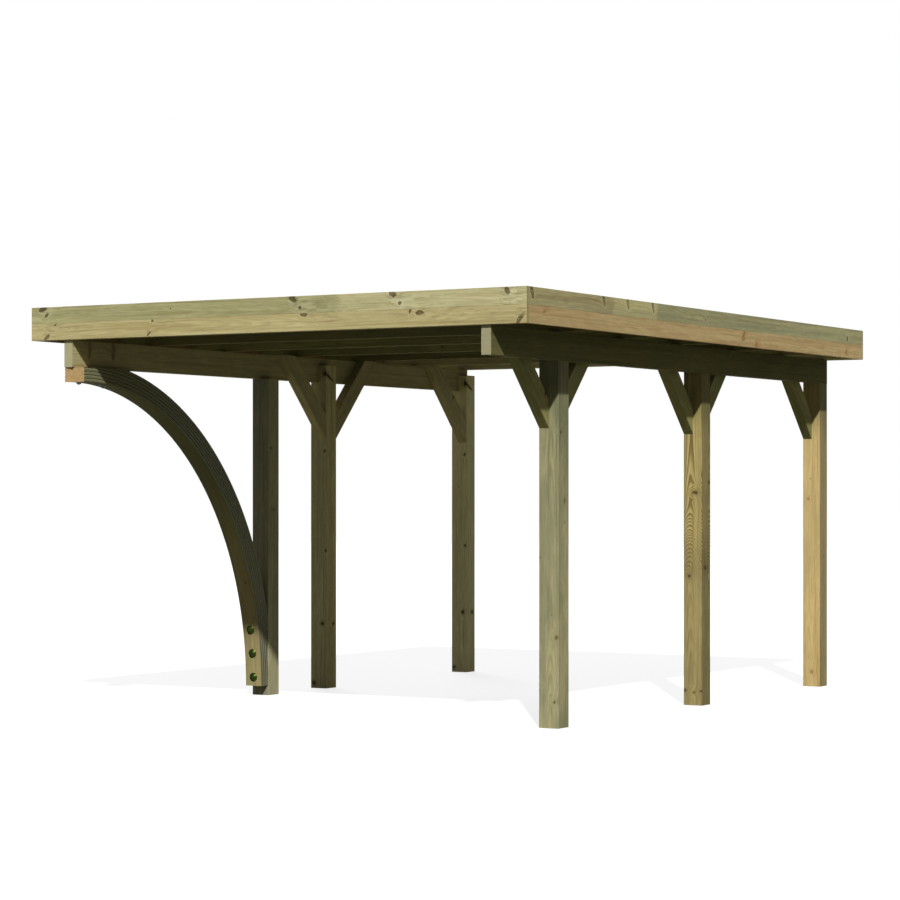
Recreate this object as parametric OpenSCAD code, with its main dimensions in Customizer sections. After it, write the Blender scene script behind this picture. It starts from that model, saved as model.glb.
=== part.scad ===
// Timber carport with a flat roof, three posts on the right side and, on the left side,
// two posts, an arch post and a laminated arch in place of the front post.
// X runs to the right, Y from the entry to the back, Z up. The origin is on the ground
// at the middle of the roof's outline.

/* [Roof outline] */
// Width of the roof over the fascia boards
roof_w = 3260; // [2800:10:3600]
// Distance from the beams' rear end to the rear fascia's outer face
rear_overhang = 71; // [45:1:150]
// Height of one fascia board
board_h = 95; // [90:1:120]
// Thickness of the fascia boards
board_t = 19; // [15:1:24]
// Rounding cut on the long outer edges of a fascia board
board_chamfer = 1; // [0.5:0.5:4]

/* [Posts] */
// Side of the square posts
post_w = 120; // [100:1:140]
// Chamfer along the long edges of the posts
post_chamfer = 3; // [1:0.5:10]
// Distance from the side fascia's outer face to the posts' outer face
post_inset = 224; // [150:1:300]
// Distance from the front fascia's outer face to the front post
first_post_y = 748; // [680:1:800]
// Distance between the posts of a row, front face to front face
post_pitch = 1793; // [1700:1:1800]
// Space between the arch post and the left middle post
arch_post_gap = 540; // [535:1:700]
// Height of the tongue that stands up behind the beam
tongue_h = 110; // [60:1:140]

/* [Beams] */
// Height of the beams' underside above the ground
beam_z = 1991; // [1900:1:2200]
// Height of the beams
beam_h = 156; // [140:1:180]
// Thickness of the beams
beam_t = 58; // [50:1:65]
// Chamfer along the long edges of the beams
beam_chamfer = 2; // [1:0.5:6]

/* [Knee braces] */
// Thickness of the braces, across the carport
brace_t = 60; // [40:1:62]
// Depth of the braces, square to their length
brace_d = 108; // [80:1:115]
// Distance from the beam's underside down to the brace's lowest point
brace_drop = 366; // [300:1:400]
// Angle of the braces to the posts
brace_angle = 43.5; // [40:0.5:50]

/* [Laminated arch] */
// Width of the arch, across the carport
arch_w = 118; // [100:1:120]
// Thickness of one lamination
lamination_t = 20; // [18:0.5:22]
// Number of laminations
laminations = 6; // [5:1:7]
// Thickness left of the arch under the beam, at its front end
arch_head_t = 83; // [70:1:100]
// Distance from the beam's front end to where the arch runs level
arch_lead = 67; // [40:1:120]
// Height of the arch's foot above the ground
arch_foot_z = 62; // [40:1:90]
// Distance from the post to the arch's hollow side at the foot
arch_foot_t = 73; // [60:1:90]
// Distance from the beam's front end to the arch's front end
arch_setback = 5; // [3:1:15]
// Angle by which the arch's front end is sawn out of square
arch_end_skew = 13; // [0:1:15]
// Width of the groove between two laminations
groove_w = 8; // [3:0.5:9]
// Depth of the groove between two laminations
groove_d = 5; // [2:0.5:6]

/* [Bolts] */
// Diameter of the domed caps on the arch's foot
cap_d = 55; // [45:1:60]
// Height of the domed caps
cap_h = 17; // [12:1:22]
// Height of the lowest cap above the arch's foot
cap_first = 54; // [35:1:70]
// Distance between two caps
cap_pitch = 149; // [120:1:170]
// Diameter of the washers under the arch's front end
washer_d = 36; // [30:1:42]
// Thickness of those washers
washer_t = 3; // [2:0.5:4]
// Width over the corners of the nuts
nut_d = 27; // [22:1:29]
// Height of the nuts
nut_h = 10; // [8:0.5:14]
// Diameter of the bolts in the nuts
bolt_d = 12; // [8:1:16]
// Length of thread that stands out of the nuts
bolt_end = 6; // [3:1:12]
// Distance of the first nut from the front fascia's outer face
first_nut_y = 76; // [70:1:90]
// Distance between the two nuts
nut_pitch = 220; // [160:1:260]
// Depth of the flat seat cut for a cap or a washer
seat_depth = 1; // [0.8:0.1:2]

/* [Rafters and roof] */
// Thickness of the rafters
rafter_t = 45; // [38:1:60]
// Height of the front rafter
rafter_h = 150; // [140:1:155]
// Distance between the last two rafters, front face to front face
last_bay = 650; // [600:1:740]
// Fall of the roof to the back, in millimetres for each metre
roof_fall = 6; // [3:0.5:8]
// Number of ribs on each sheet
ribs = 6; // [4:1:8]
// Height of a rib
rib_h = 18; // [14:1:20]
// Width of a rib at its foot
rib_foot = 62; // [50:1:70]
// Width of a rib at its top
rib_top = 34; // [20:1:45]
// Thickness of the sheet metal
sheet_t = 0.75; // [0.5:0.05:1.5]
// Space between the sheets' front edge and the front fascia
sheet_gap = 4; // [2:1:10]
// Number of spacer blocks behind the rear fascia
spacers = 5; // [3:1:7]
// Width of a spacer block
spacer_w = 45; // [35:1:60]

/* [Hidden] */

// Places are written as a distance from the front fascia's face, and move back to the origin here
row_x = roof_w / 2 - post_inset;
fascia_z = beam_z + beam_h;
seam_z = fascia_z + board_h;
last_post_y = first_post_y + 2 * post_pitch;
middle_post_y = first_post_y + post_pitch;
arch_post_y = middle_post_y - arch_post_gap - post_w;
beam_front = board_t;
beam_rear = last_post_y + post_w;
roof_l = beam_rear + rear_overhang;
front_y = -roof_l / 2;
clearance = 0.3;
overcut = 10;
rafter_count = 7;
rafter_pitch = (beam_rear - rafter_t - last_bay - beam_front) / (rafter_count - 2);
sheet_count = 4;

timber_green = [0.72, 0.70, 0.50];
timber_pale = [0.85, 0.82, 0.62];
timber_tan = [0.78, 0.68, 0.47];
steel_dark = [0.16, 0.24, 0.13];
steel_pale = [0.62, 0.68, 0.70];
sheet_grey = [0.33, 0.34, 0.34];

// Outline of a bar with chamfered corners, its low corner at the origin
module bar_outline(w, h, c) {
    polygon([[c, 0], [w - c, 0], [w, c], [w, h - c], [w - c, h], [c, h], [0, h - c], [0, c]]);
}

// Everything of one side is drawn for the right side, and mirrored for the left side
module on_side(side) {
    if (side == "left") mirror([1, 0, 0]) children();
    else children();
}

// Post, notched on its outer side to carry the beam
module notched_post(side, y) {
    color(timber_green)
    on_side(side)
    translate([row_x - post_w, front_y + y, 0])
    difference() {
        linear_extrude(beam_z + tongue_h) bar_outline(post_w, post_w, post_chamfer);
        translate([post_w - beam_t, -overcut, beam_z])
            cube([beam_t + overcut, post_w + 2 * overcut, tongue_h + overcut]);
    }
}

// Post that ends square under the beam
module arch_post() {
    color(timber_green)
    translate([-row_x, front_y + arch_post_y, 0])
    linear_extrude(beam_z) bar_outline(post_w, post_w, post_chamfer);
}

// Beam along one row of posts
module beam(side) {
    color(timber_pale)
    on_side(side)
    translate([row_x - beam_t, front_y + beam_rear, beam_z])
    rotate([90, 0, 0])
    linear_extrude(beam_rear - beam_front) bar_outline(beam_t, beam_h, beam_chamfer);
}

// Brace from a post's face up to the top of the beam; ahead is -1 towards the front
module knee_brace(side, face_y, ahead) {
    cut = brace_d / sin(brace_angle);
    rise = brace_drop + beam_h;
    reach = ahead * tan(brace_angle);
    color(timber_tan)
    on_side(side)
    translate([row_x - beam_t - brace_t, front_y + face_y, beam_z - brace_drop])
    rotate([90, 0, 90])
    linear_extrude(brace_t)
    polygon([[0, 0], [reach * rise, rise], [reach * (rise - cut), rise], [0, cut]]);
}

// The arch's hollow side is a quarter of an ellipse; out is the distance from it,
// measured square to the curve, and a is the angle from the foot
arch_t = laminations * lamination_t;
foot_trim = 6;
arch_cy = beam_front + arch_lead;
arch_cz = arch_foot_z - foot_trim;
arch_span = arch_post_y - arch_foot_t - arch_cy;
arch_rise = beam_z - arch_head_t - arch_cz;
arch_steps = 48;
arch_reach = 6;
function arch_point(a, out) =
    let (ny = arch_rise * cos(a), nz = arch_span * sin(a), n = sqrt(ny * ny + nz * nz))
    [arch_cy + arch_span * cos(a) + out * ny / n, arch_cz + arch_rise * sin(a) + out * nz / n];
function arch_line(out) =
    [for (i = [0:arch_steps]) arch_point(-arch_reach + (90 + 2 * arch_reach) * i / arch_steps, out)];
function reversed(list) = [for (i = [len(list) - 1:-1:0]) list[i]];
function height_angle(z) = asin((z - arch_cz) / arch_rise);
function along_angle(y) = acos((y - arch_cy) / arch_span);

// Band between two lines that run beside the arch's hollow side
module arch_band(inner, outer, width) {
    rotate([90, 0, 90])
    linear_extrude(width) polygon(concat(arch_line(inner), reversed(arch_line(outer))));
}

// Puts what is drawn along +Z on the arch's hollow side, at the angle a, pointing away from it
module on_arch(a) {
    p = arch_point(a, seat_depth);
    q = arch_point(a, seat_depth + 1);
    translate([arch_w / 2, p[0], p[1]])
    rotate([atan2(q[1] - p[1], q[0] - p[0]) + 90, 0, 0])
    children();
}

module each_cap() {
    for (i = [0:2]) on_arch(height_angle(arch_foot_z + cap_first + i * cap_pitch)) children();
}

module each_nut() {
    for (i = [0:1]) on_arch(along_angle(first_nut_y + i * nut_pitch)) children();
}

// Arch of bent laminations, planed flat where it meets the beam and the post
module laminated_arch() {
    color(timber_tan)
    translate([-row_x, front_y, 0])
    difference() {
        intersection() {
            arch_band(0, arch_t, arch_w);
            translate([0, beam_front, arch_foot_z])
                cube([arch_w, arch_post_y - beam_front, beam_z - arch_foot_z]);
        }
        for (k = [1:laminations - 1])
        for (x = [-overcut, arch_w - groove_d])
            translate([x, 0, 0])
            arch_band(k * lamination_t - groove_w / 2, k * lamination_t + groove_w / 2, groove_d + overcut);
        translate([0, beam_front + arch_setback, 0])
        rotate([0, 0, arch_end_skew])
        translate([-arch_w, -2 * arch_w, 0])
            cube([3 * arch_w, 2 * arch_w, beam_z + overcut]);
        each_cap() cylinder(d = cap_d + 1, h = seat_depth + overcut, $fn = 48);
        each_nut() cylinder(d = washer_d + 1, h = seat_depth + overcut, $fn = 48);
    }
}

// Domed caps over the bolts that hold the arch to its post
module arch_foot_bolts() {
    rim = 3;
    dome = cap_h - rim;
    r = (cap_d * cap_d / 4 + dome * dome) / (2 * dome);
    color(steel_dark)
    translate([-row_x, front_y, 0])
    each_cap()
    rotate_extrude($fn = 48)
    intersection() {
        square([cap_d / 2, cap_h]);
        union() {
            square([cap_d / 2, rim]);
            translate([0, cap_h - r]) circle(r = r, $fn = 96);
        }
    }
}

// Washers, nuts and thread ends of the bolts that hold the arch to the beam
module arch_top_bolts() {
    color(steel_pale)
    translate([-row_x, front_y, 0])
    each_nut()
    union() {
        cylinder(d = washer_d, h = washer_t, $fn = 48);
        cylinder(d = nut_d, h = washer_t + nut_h, $fn = 6);
        cylinder(d = bolt_d, h = washer_t + nut_h + bolt_end, $fn = 32);
    }
}

// Fascia board of the front or the rear, over the roof's full width; face is -1 at the front
module cross_fascia(face, z) {
    color(timber_pale)
    translate([0, face * (roof_l / 2 - board_t), z])
    rotate([90, 0, 90])
    translate([0, 0, -roof_w / 2])
    linear_extrude(roof_w)
    polygon([[0, 0], [face * (board_t - board_chamfer), 0], [face * board_t, board_chamfer],
        [face * board_t, board_h - board_chamfer], [face * (board_t - board_chamfer), board_h],
        [0, board_h]]);
}

// Fascia board of a side, between the boards of the front and the rear
module side_fascia(side, z) {
    color(timber_pale)
    on_side(side)
    translate([roof_w / 2 - board_t, roof_l / 2 - board_t, z])
    rotate([90, 0, 0])
    linear_extrude(roof_l - 2 * board_t)
    polygon([[0, 0], [board_t - board_chamfer, 0], [board_t, board_chamfer],
        [board_t, board_h - board_chamfer], [board_t - board_chamfer, board_h], [0, board_h]]);
}

// Height of the rafters' top, where the roof sheets lie, at a distance from the front fascia's face
function roof_z(y) = fascia_z + rafter_h - roof_fall * (y - board_t) / 1000;
function rafter_y(i) =
    i == rafter_count ? beam_rear - rafter_t : beam_front + (i - 1) * rafter_pitch;

// Rafter across the beams, its top following the fall of the roof
module rafter(i) {
    y = rafter_y(i);
    color(timber_green)
    translate([-roof_w / 2 + board_t, front_y, 0])
    rotate([90, 0, 90])
    linear_extrude(roof_w - 2 * board_t)
    polygon([[y, fascia_z], [y + rafter_t, fascia_z],
        [y + rafter_t, roof_z(y + rafter_t)], [y, roof_z(y)]]);
}

// Blocks that hold the rear fascia off the last rafter
module rear_spacer_blocks() {
    gap = roof_l - board_t - beam_rear;
    step = (roof_w - 2 * board_t - spacer_w) / (spacers - 1);
    color(timber_green)
    for (i = [0:spacers - 1])
        translate([-roof_w / 2 + board_t + i * step, front_y + beam_rear, fascia_z])
        cube([spacer_w, gap, rafter_h + rib_h]);
}

// Line of a sheet's upper or lower face over one rib that starts at x. The last rib tucks
// under the next sheet, so it is narrower and lower by drop, and the first rib's edge is
// cut off at the height lip, where it stands on the sheet before it.
sheet_cover = (roof_w - 2 * board_t - 2 * sheet_gap - rib_foot) / sheet_count;
rib_pitch = sheet_cover / ribs;
flank = (rib_foot - rib_top) / 2;
lap_side = 1.5;

function rib_line(x, lift, spread, drop, lip) = [
    [x - spread + lip * flank / rib_h, lift + lip],
    [x + flank - spread, rib_h + lift - drop],
    [x + flank + rib_top + spread, rib_h + lift - drop],
    [x + rib_foot + spread, lift]];

module roof_sheet(i) {
    lap = sheet_t + clearance;
    lip = i > 1 ? lap : 0;
    tuck = i < sheet_count ? lap : 0;
    side_grow = sheet_t * (sqrt(flank * flank + rib_h * rib_h) - flank) / rib_h;
    upper = [for (k = [0:ribs]) each
        rib_line(k * rib_pitch, sheet_t, k < ribs ? 0 : -lap_side * tuck, k < ribs ? 0 : tuck,
            k > 0 ? 0 : lip)];
    lower = [for (k = [0:ribs]) each
        rib_line(k * rib_pitch, 0, (k < ribs ? 0 : -lap_side * tuck) - side_grow, k < ribs ? 0 : tuck,
            k > 0 ? 0 : lip)];
    x0 = -roof_w / 2 + board_t + sheet_gap + (i - 1) * sheet_cover;
    y0 = board_t + sheet_gap;
    length = beam_rear - y0 + sheet_gap;
    color(sheet_grey)
    translate([x0, front_y + y0, roof_z(y0)])
    multmatrix([[1, 0, 0, 0], [0, 1, 0, 0], [0, -roof_fall / 1000, 1, 0], [0, 0, 0, 1]])
    translate([0, length, 0])
    rotate([90, 0, 0])
    linear_extrude(length)
    polygon(concat(lower, reversed(upper)));
}

notched_post("right", first_post_y);  // right_front_post
notched_post("right", middle_post_y);  // right_middle_post
notched_post("right", last_post_y);  // right_rear_post
arch_post();
notched_post("left", middle_post_y);  // left_middle_post
notched_post("left", last_post_y);  // left_rear_post
beam("right");  // right_beam
beam("left");  // left_beam
knee_brace("right", first_post_y, -1);  // right_front_post_front_brace
knee_brace("right", first_post_y + post_w, 1);  // right_front_post_rear_brace
knee_brace("right", middle_post_y, -1);  // right_middle_post_front_brace
knee_brace("right", middle_post_y + post_w, 1);  // right_middle_post_rear_brace
knee_brace("right", last_post_y, -1);  // right_rear_post_brace
knee_brace("left", middle_post_y, -1);  // left_middle_post_front_brace
knee_brace("left", middle_post_y + post_w, 1);  // left_middle_post_rear_brace
knee_brace("left", last_post_y, -1);  // left_rear_post_brace
laminated_arch();
arch_foot_bolts();
arch_top_bolts();
cross_fascia(-1, fascia_z);  // front_lower_fascia
cross_fascia(-1, seam_z);  // front_upper_fascia
cross_fascia(1, fascia_z);  // rear_lower_fascia
cross_fascia(1, seam_z);  // rear_upper_fascia
side_fascia("left", fascia_z);  // left_lower_fascia
side_fascia("left", seam_z);  // left_upper_fascia
side_fascia("right", fascia_z);  // right_lower_fascia
side_fascia("right", seam_z);  // right_upper_fascia
for (i = [1:rafter_count])
    rafter(i);
rear_spacer_blocks();
for (i = [1:sheet_count])
    roof_sheet(i);
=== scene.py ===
import math
import random

import bmesh
import bpy
from mathutils import Matrix, Vector
from mathutils.bvhtree import BVHTree


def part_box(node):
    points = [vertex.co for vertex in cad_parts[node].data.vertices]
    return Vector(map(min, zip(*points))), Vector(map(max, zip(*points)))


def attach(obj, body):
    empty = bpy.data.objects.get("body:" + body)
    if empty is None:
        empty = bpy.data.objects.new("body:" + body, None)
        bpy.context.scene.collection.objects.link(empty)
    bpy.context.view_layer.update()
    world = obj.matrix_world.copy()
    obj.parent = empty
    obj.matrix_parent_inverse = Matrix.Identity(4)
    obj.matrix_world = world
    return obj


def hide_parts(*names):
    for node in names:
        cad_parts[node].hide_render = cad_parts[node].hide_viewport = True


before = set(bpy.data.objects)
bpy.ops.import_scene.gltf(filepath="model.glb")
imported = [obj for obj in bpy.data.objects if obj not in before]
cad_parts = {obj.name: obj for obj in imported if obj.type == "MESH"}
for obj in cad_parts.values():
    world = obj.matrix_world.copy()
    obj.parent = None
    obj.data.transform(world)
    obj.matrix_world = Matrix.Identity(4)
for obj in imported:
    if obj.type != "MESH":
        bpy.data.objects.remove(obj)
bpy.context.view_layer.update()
print("frame loaded,", len(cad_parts), "pieces of the construction")


# Shader and geometry trees are wired with these two classes
class Wire:
    def __init__(self, board, socket):
        self.board = board
        self.socket = socket

    def math(self, operation, *others):
        return self.board.calculate(operation, self, *others)

    def __add__(self, other):
        return self.math("ADD", other)

    def __sub__(self, other):
        return self.math("SUBTRACT", other)

    def __mul__(self, other):
        return self.math("MULTIPLY", other)

    def __truediv__(self, other):
        return self.math("DIVIDE", other)

    __radd__ = __add__
    __rmul__ = __mul__

    def __rsub__(self, other):
        return self.board.calculate("SUBTRACT", other, self)

    def __rtruediv__(self, other):
        return self.board.calculate("DIVIDE", other, self)

    def out(self, name):
        return Wire(self.board, self.socket.node.outputs[name])

    # 0 at the first edge, 1 at the second, soft between; the first may be the higher
    def ramp(self, first, second):
        return self.board.add("ShaderNodeMapRange", {"interpolation_type": "SMOOTHSTEP"},
                              {"Value": self, "From Min": first, "From Max": second})


class Board:
    def __init__(self, tree):
        self.tree = tree

    # any node, by its type, its settings, and the values or wires of its sockets
    def add(self, kind, settings=None, sockets=(), out=0):
        node = self.tree.nodes.new(kind)
        for name, value in (settings or {}).items():
            setattr(node, name, value)
        pairs = sockets.items() if isinstance(sockets, dict) else enumerate(sockets)
        for key, value in pairs:
            for wire in value if isinstance(value, list) else (value,):
                if isinstance(wire, Wire):
                    self.tree.links.new(wire.socket, node.inputs[key])
                elif wire is not None:
                    node.inputs[key].default_value = wire
        return Wire(self, node.outputs[out]) if node.outputs else node

    def calculate(self, operation, *values):
        return self.add("ShaderNodeMath", {"operation": operation}, values)

    def split(self, vector):
        x = self.add("ShaderNodeSeparateXYZ", None, (vector,))
        return x, x.out("Y"), x.out("Z")

    def join(self, x, y, z):
        return self.add("ShaderNodeCombineXYZ", None, (x, y, z))

    def vector(self, operation, *values, out=0):
        return self.add("ShaderNodeVectorMath", {"operation": operation}, values, out)

    def length(self, vector):
        return self.vector("LENGTH", vector, out="Value")

    def mix(self, first, second, share, blend="MIX"):
        return self.add("ShaderNodeMix", {"data_type": "RGBA", "blend_type": blend},
                        {0: share, 6: first, 7: second}, 2)

    def noise(self, vector, scale=1.0, detail=2.0, roughness=0.5):
        return self.add("ShaderNodeTexNoise", {"noise_dimensions": "3D"},
                        {"Vector": vector, "Scale": scale, "Detail": detail, "Roughness": roughness})

    # noise along one number
    def line(self, position, detail=1.0):
        return self.add("ShaderNodeTexNoise", {"noise_dimensions": "1D"},
                        {"W": position, "Scale": 1.0, "Detail": detail})


# A colour as a paint chart gives it, 0 to 255
def paint(red, green, blue):
    def linear(value):
        value /= 255
        return value / 12.92 if value <= 0.04045 else ((value + 0.055) / 1.055) ** 2.4
    return (linear(red), linear(green), linear(blue), 1)


def freshMaterial(name):
    material = bpy.data.materials.new(name)
    material.use_nodes = True
    material.node_tree.nodes.clear()
    return material, Board(material.node_tree)


def surface(board, **sockets):
    shader = board.add("ShaderNodeBsdfPrincipled", None,
                       {name.replace("_", " "): value for name, value in sockets.items()})
    board.add("ShaderNodeOutputMaterial", None, {"Surface": shader})


def nodesLike(start="", end=""):
    return [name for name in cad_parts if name.startswith(start) and name.endswith(end)]


# Timber, in metres
timberLook = {
    "ringWidth": 0.0042,        # one year's growth
    "ringSpread": 1.6, "ringPace": 55.0,        # how much the years differ, and how soon
    "pithSway": 0.014,          # how far the heart of the trunk wanders
    "swayPace": 0.9,
    "trunkTaper": 0.016,        # so the rings run out in long arches
    "lump": 0.010,
    "lumpGrain": (1.6, 9.0, 9.0),
    "knotFlow": 0.016,          # how far the grain gives way to a knot
    "knotReach": 0.055,         # a larger one gives way nearer the knot only
    "knotGrowth": 16.0,         # a branch widens as it runs out
    "knotRagged": 0.014,        # how far a knot's outline strays
    "raggedGrain": (40.0, 90.0, 90.0),
    "branchRise": 0.30,
    "crackWidth": 0.0008,
    "crackSway": 0.012,
    "crackShare": 0.75,
    "veinShare": 0.42,
    "relief": 0.0006,
    "roughness": 0.62,
    "gloss": 0.02,
    "uneven": (0.34, 0.24, 0.46, 0.48),         # what fibre, band and mottle lighten, and the least
    # noise: how fine along the fibres and across them, its detail and its roughness
    "fibre": (7.0, 420.0, 2.0, 0.6),
    "streak": (0.8, 44.0, 3.0, 0.5),
    "band": (0.35, 16.0, 1.0, 0.5),
    "cloud": (2.4, 8.0, 3.0, 0.55),
    "boardCloud": (1.1, 20.0, 3.0, 0.55),
    "mottle": (11.0, 60.0, 3.0, 0.6),
    "vein": (1.6, 150.0, 2.0, 0.5),
    # a knot's heart, its rim, the wood round it, and end grain, where a tone has no colour of its own
    "heart": paint(94, 77, 45),
    "rim": paint(50, 44, 26),
    "glow": paint(128, 112, 70),
    "cut": paint(160, 155, 124),
    "veinShade": paint(112, 92, 52),
    "crackShade": paint(58, 52, 36),
    "paintedFaceShade": (0.57, 0.61, 0.70, 1),        # painted shade on one face of a post
}

# Early and late wood, and the smoky patches that the impregnation leaves
timberTones = {
    "cream": {"pale": paint(191, 184, 141), "late": paint(154, 143, 97), "smoke": paint(163, 159, 118),
              "patch": 0.5, "rings": 0.35, "cut": paint(140, 130, 92), "heart": paint(108, 92, 58),
              "rim": paint(60, 52, 32), "glow": paint(206, 201, 160), "flare": 0.5},
    "sand": {"pale": paint(185, 174, 127), "late": paint(151, 136, 90), "smoke": paint(166, 151, 106),
             "patch": 0.4, "rings": 0.35, "cut": paint(144, 130, 90), "heart": paint(108, 92, 58),
             "rim": paint(60, 52, 32), "glow": paint(186, 172, 126), "flare": 0.45},
    "sage": {"pale": paint(188, 180, 130), "late": paint(154, 143, 100), "smoke": paint(156, 151, 113),
             "patch": 0.7, "rings": 0.30, "heart": paint(146, 130, 88), "rim": paint(60, 50, 30),
             "glow": paint(194, 188, 138)},
    "rose": {"pale": paint(186, 164, 118), "late": paint(158, 133, 92), "smoke": paint(168, 140, 98),
             "patch": 0.5, "rings": 0.35, "heart": paint(160, 122, 76), "rim": paint(128, 98, 60),
             "glow": paint(166, 130, 82)},
    "moss": {"pale": paint(168, 161, 122), "late": paint(129, 122, 88), "smoke": paint(130, 129, 99),
             "patch": 0.7, "rings": 0.45, "heart": paint(112, 97, 60), "rim": paint(86, 76, 48),
             "glow": paint(134, 124, 84)},
    "fir": {"pale": paint(180, 163, 106), "late": paint(108, 90, 48), "smoke": paint(148, 134, 88),
            "patch": 0.4, "rings": 0.9, "streaks": 0.4},
    "honey": {"pale": paint(201, 177, 121), "late": paint(172, 144, 90), "smoke": paint(178, 156, 106),
              "patch": 0.4, "rings": 0.50, "heart": paint(158, 132, 84), "rim": paint(138, 112, 70),
              "glow": paint(180, 152, 98)},
    "slate": {"pale": paint(182, 176, 136), "late": paint(151, 143, 108), "smoke": paint(151, 148, 118),
              "patch": 0.5, "rings": 0.45, "heart": paint(126, 112, 74), "rim": paint(100, 90, 58),
              "glow": paint(156, 143, 104)},
    # ochre and straw are lightened: painted light for the left posts, which are in shade
    "ochre": {"pale": paint(215, 205, 149), "late": paint(183, 170, 115), "smoke": paint(183, 176, 130),
              "patch": 0.4, "rings": 0.45},
    "loam": {"pale": paint(184, 174, 128), "late": paint(156, 143, 96), "smoke": paint(156, 148, 108),
             "patch": 0.5, "rings": 0.45, "heart": paint(136, 122, 82), "rim": paint(116, 104, 69),
             "glow": paint(154, 138, 94)},
    "straw": {"pale": paint(231, 221, 169), "late": paint(203, 191, 137), "smoke": paint(201, 193, 147),
              "patch": 0.4, "rings": 0.45},
    "tan": {"pale": paint(146, 141, 92), "late": paint(118, 111, 68), "smoke": paint(112, 114, 73),
            "patch": 0.6, "rings": 0.45},
    "bark": {"pale": paint(128, 121, 80), "late": paint(102, 95, 58), "smoke": paint(102, 100, 70),
             "patch": 0.5, "rings": 0.35},
    "dusk": {"pale": paint(110, 105, 66), "late": paint(88, 84, 48), "smoke": paint(88, 89, 58),
             "patch": 0.5, "rings": 0.35},
}
postHalf = 0.060        # half the width of a post


# Distance to a branch in its own radii; it runs through start along axis and widens on the way
def fromBranch(board, place, start, axis, radius):
    gap = board.vector("SUBTRACT", place, start)
    run = board.vector("DOT_PRODUCT", gap, axis, out="Value")
    width = (run * timberLook["knotGrowth"] + 1.0).math("MAXIMUM", 0.25)
    return board.length(board.vector("CROSS_PRODUCT", gap, axis)) / (width * radius)


# Rows of branches that leave the heart at one height, placed by chance along the trunk
def fromWhorls(board, trunk, whorls, seed):
    nearest = None
    along, side, depth = board.split(trunk)
    for ring in range(whorls["rings"]):
        offset = seed * 1.37 + ring * 11.3
        cell = board.add("ShaderNodeTexVoronoi", {"voronoi_dimensions": "1D"},
                         {"W": along / whorls["every"] + offset, "Scale": 1.0, "Randomness": 0.8})
        chance = board.add("ShaderNodeSeparateColor", None, (cell.out("Color"),))
        turn = (chance - 0.5) * whorls["fan"] + whorls["turn"]
        start = board.join((cell.out("W") - offset) * whorls["every"], 0.0, 0.0)
        sideways = turn.math("COSINE")
        outward = turn.math("SINE")
        axis = board.vector("NORMALIZE", board.join(timberLook["branchRise"], sideways, outward))
        radius = chance.out("Green") * (whorls["big"] - whorls["small"]) + whorls["small"]
        gap = board.vector("SUBTRACT", trunk, start)
        found = board.length(board.vector("CROSS_PRODUCT", gap, axis)) / radius
        # a branch has only one end: the far side of the heart is pushed away
        found = found + (side * sideways + depth * outward).ramp(0.004, 0.0) * 9.0
        nearest = found if nearest is None else nearest.math("MINIMUM", found)
    return nearest


# The nearest branch of both kinds, or nothing where a timber has no knots
def nearestBranch(board, place, trunk, knots, whorls, seed):
    nearest = fromWhorls(board, trunk, whorls, seed) if whorls else None
    if knots:
        scaled = board.vector("MULTIPLY", place, timberLook["raggedGrain"])
        stray = board.vector("SUBTRACT", board.noise(scaled).out("Color"), (0.5, 0.5, 0.5))
        stray = board.vector("MULTIPLY", stray, (timberLook["knotRagged"],) * 3)
        place = board.vector("ADD", place, stray)
    for start, axis, radius in knots:
        found = fromBranch(board, place, start, tuple(Vector(axis).normalized()), radius)
        nearest = found if nearest is None else nearest.math("MINIMUM", found)
    return nearest


# Wood round a knot, then the knot's heart and its rim; ragged counts in the knot's radii
def withKnots(board, colour, tone, ragged, mottle):
    heart, rim, glow = (tone.get(part, timberLook[part]) for part in ("heart", "rim", "glow"))
    colour = board.mix(colour, glow, ragged.ramp(3.6, 1.0) * 0.55)
    if "flare" in tone:
        smear = ragged.ramp(6.0, 1.8) * mottle.ramp(0.44, 0.64) * tone["flare"]
        colour = board.mix(colour, heart, smear)
    core = board.mix(heart, rim, mottle.ramp(0.4, 0.7) * 0.6)
    colour = board.mix(colour, core, ragged.ramp(1.2, 0.8) * 0.9)
    return board.mix(colour, rim, ragged.ramp(0.62, 0.95) * ragged.ramp(1.35, 1.0) * 0.65)


# A thin crack that runs along the timber, on the side that turn points to
def crackMask(board, x, across, depth, turn, density, seed):
    sway = (board.line(x * 2.6 + turn, 3.0) - 0.5) * timberLook["crackSway"]
    side = across * -math.sin(turn) + depth * math.cos(turn) + sway
    front = across * math.cos(turn) + depth * math.sin(turn)
    width = board.line(x * 1.7 + (seed + turn * 7), 2.0).ramp(0.62 - density, 0.75)
    width = width * timberLook["crackWidth"]
    return (side.math("ABSOLUTE") - width).ramp(0.0003, -0.0003) * front.ramp(0.010, 0.018)


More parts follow.
